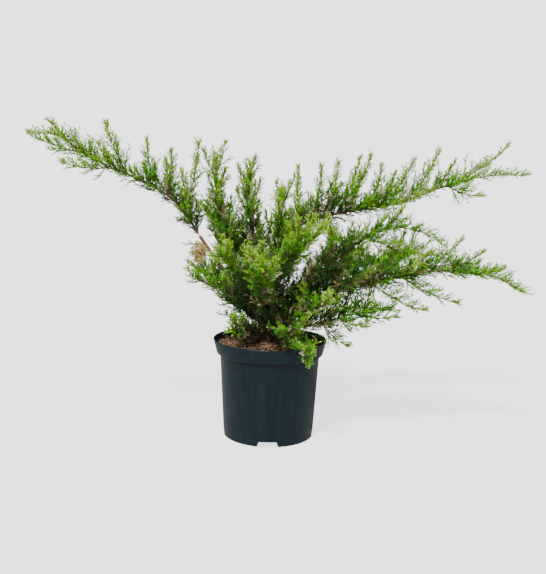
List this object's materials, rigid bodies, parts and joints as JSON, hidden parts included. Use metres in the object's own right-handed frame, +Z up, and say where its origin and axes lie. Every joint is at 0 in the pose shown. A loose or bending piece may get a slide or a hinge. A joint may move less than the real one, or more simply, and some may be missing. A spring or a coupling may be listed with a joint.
{
  "type": "potted conifer shrub",
  "caption": "Spreading juniper with arching feathery boughs and white-splashed foliage, in a round tapered nursery pot with a deep rim band and drain channels.",
  "frame": {"origin": "centre of the pot's flat underside", "axes": "+Z up along the pot's axis, -Y towards the viewer of the picture, +X to that viewer's right, along the plant's widest spread"},
  "size_m": [0.9491, 0.5206, 0.6099],
  "materials": {
    "pot": "satin moulded plastic, dark petrol blue",
    "soil": "moist bark-based potting mix",
    "trunk": "rough dark bark",
    "left_arm_bough": "reddish-brown bark",
    "right_upper_bough": "reddish-brown bark",
    "right_mid_bough": "reddish-brown bark",
    "right_low_bough": "reddish-brown bark",
    "left_low_bough": "reddish-brown bark",
    "left_upper_bough": "reddish-brown bark",
    "crown_left_bough": "reddish-brown bark",
    "crown_mid_bough": "reddish-brown bark",
    "crown_front_bough": "reddish-brown bark",
    "right_dense_bough": "reddish-brown bark",
    "front_low_bough": "reddish-brown bark",
    "right_bottom_bough": "reddish-brown bark",
    "front_right_bough": "reddish-brown bark",
    "base_left_bough": "reddish-brown bark",
    "back_left_low_bough": "reddish-brown bark",
    "back_left_bough": "reddish-brown bark",
    "back_bough": "reddish-brown bark",
    "back_right_bough": "reddish-brown bark",
    "crown_right_bough": "reddish-brown bark",
    "front_bough": "reddish-brown bark",
    "front_left_bough": "reddish-brown bark",
    "left_arm_foliage": "needle foliage",
    "right_upper_foliage": "needle foliage",
    "right_mid_foliage": "needle foliage",
    "right_low_foliage": "needle foliage",
    "left_low_foliage": "needle foliage",
    "left_upper_foliage": "needle foliage",
    "crown_left_foliage": "needle foliage",
    "crown_mid_foliage": "needle foliage",
    "crown_front_foliage": "needle foliage",
    "right_dense_foliage": "needle foliage",
    "front_low_foliage": "needle foliage",
    "right_bottom_foliage": "needle foliage",
    "front_right_foliage": "needle foliage",
    "base_left_foliage": "needle foliage",
    "back_left_low_foliage": "needle foliage",
    "back_left_foliage": "needle foliage",
    "back_foliage": "needle foliage",
    "back_right_foliage": "needle foliage",
    "crown_right_foliage": "needle foliage",
    "front_foliage": "needle foliage",
    "front_left_foliage": "needle foliage",
    "dead_tuft": "dry straw-coloured needles"
  },
  "bodies": {
    "root": {"pot": "pot", "soil": "soil", "trunk": "trunk", "left_arm_bough": "left_arm_bough", "right_upper_bough": "right_upper_bough", "right_mid_bough": "right_mid_bough", "right_low_bough": "right_low_bough", "left_low_bough": "left_low_bough", "left_upper_bough": "left_upper_bough", "crown_left_bough": "crown_left_bough", "crown_mid_bough": "crown_mid_bough", "crown_front_bough": "crown_front_bough", "right_dense_bough": "right_dense_bough", "front_low_bough": "front_low_bough", "right_bottom_bough": "right_bottom_bough", "front_right_bough": "front_right_bough", "base_left_bough": "base_left_bough", "back_left_low_bough": "back_left_low_bough", "back_left_bough": "back_left_bough", "back_bough": "back_bough", "back_right_bough": "back_right_bough", "crown_right_bough": "crown_right_bough", "front_bough": "front_bough", "front_left_bough": "front_left_bough", "left_arm_foliage": "left_arm_foliage", "right_upper_foliage": "right_upper_foliage", "right_mid_foliage": "right_mid_foliage", "right_low_foliage": "right_low_foliage", "left_low_foliage": "left_low_foliage", "left_upper_foliage": "left_upper_foliage", "crown_left_foliage": "crown_left_foliage", "crown_mid_foliage": "crown_mid_foliage", "crown_front_foliage": "crown_front_foliage", "right_dense_foliage": "right_dense_foliage", "front_low_foliage": "front_low_foliage", "right_bottom_foliage": "right_bottom_foliage", "front_right_foliage": "front_right_foliage", "base_left_foliage": "base_left_foliage", "back_left_low_foliage": "back_left_low_foliage", "back_left_foliage": "back_left_foliage", "back_foliage": "back_foliage", "back_right_foliage": "back_right_foliage", "crown_right_foliage": "crown_right_foliage", "front_foliage": "front_foliage", "front_left_foliage": "front_left_foliage", "dead_tuft": "dead_tuft"}
  },
  "joints": []
}
